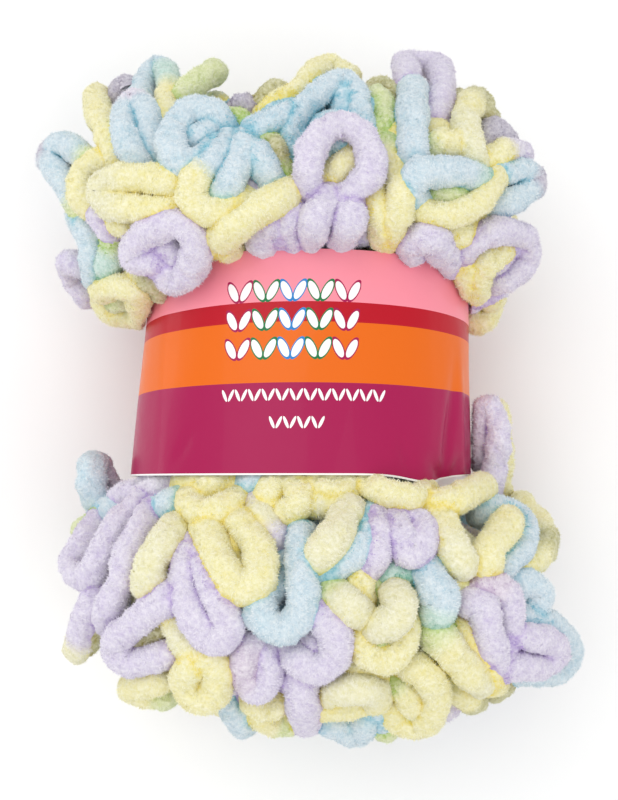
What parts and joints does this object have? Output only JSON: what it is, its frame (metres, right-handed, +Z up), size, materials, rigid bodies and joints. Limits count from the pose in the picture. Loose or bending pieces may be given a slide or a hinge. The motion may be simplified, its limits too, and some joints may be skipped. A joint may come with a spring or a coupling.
{
  "type": "knitting yarn skein",
  "caption": "Skein of thick plush loop yarn, drawn in at the waist by a printed paper band and lying on its back, for hand knitting.",
  "frame": {"origin": "middle of the outer box's underside, on the plane the skein lies on", "axes": "+Y along the skein towards its upper bunch, +Z up out of the band's printed front, +X to the right as the front is seen"},
  "size_m": [0.1608, 0.2041, 0.1034],
  "materials": {
    "yarn": "soft plush pile in pale yellow, lavender and pale blue",
    "paper": "glossy printed paper in pink, crimson, orange and plum"
  },
  "bodies": {
    "root": {"skein": "yarn", "band": "paper"}
  },
  "joints": []
}
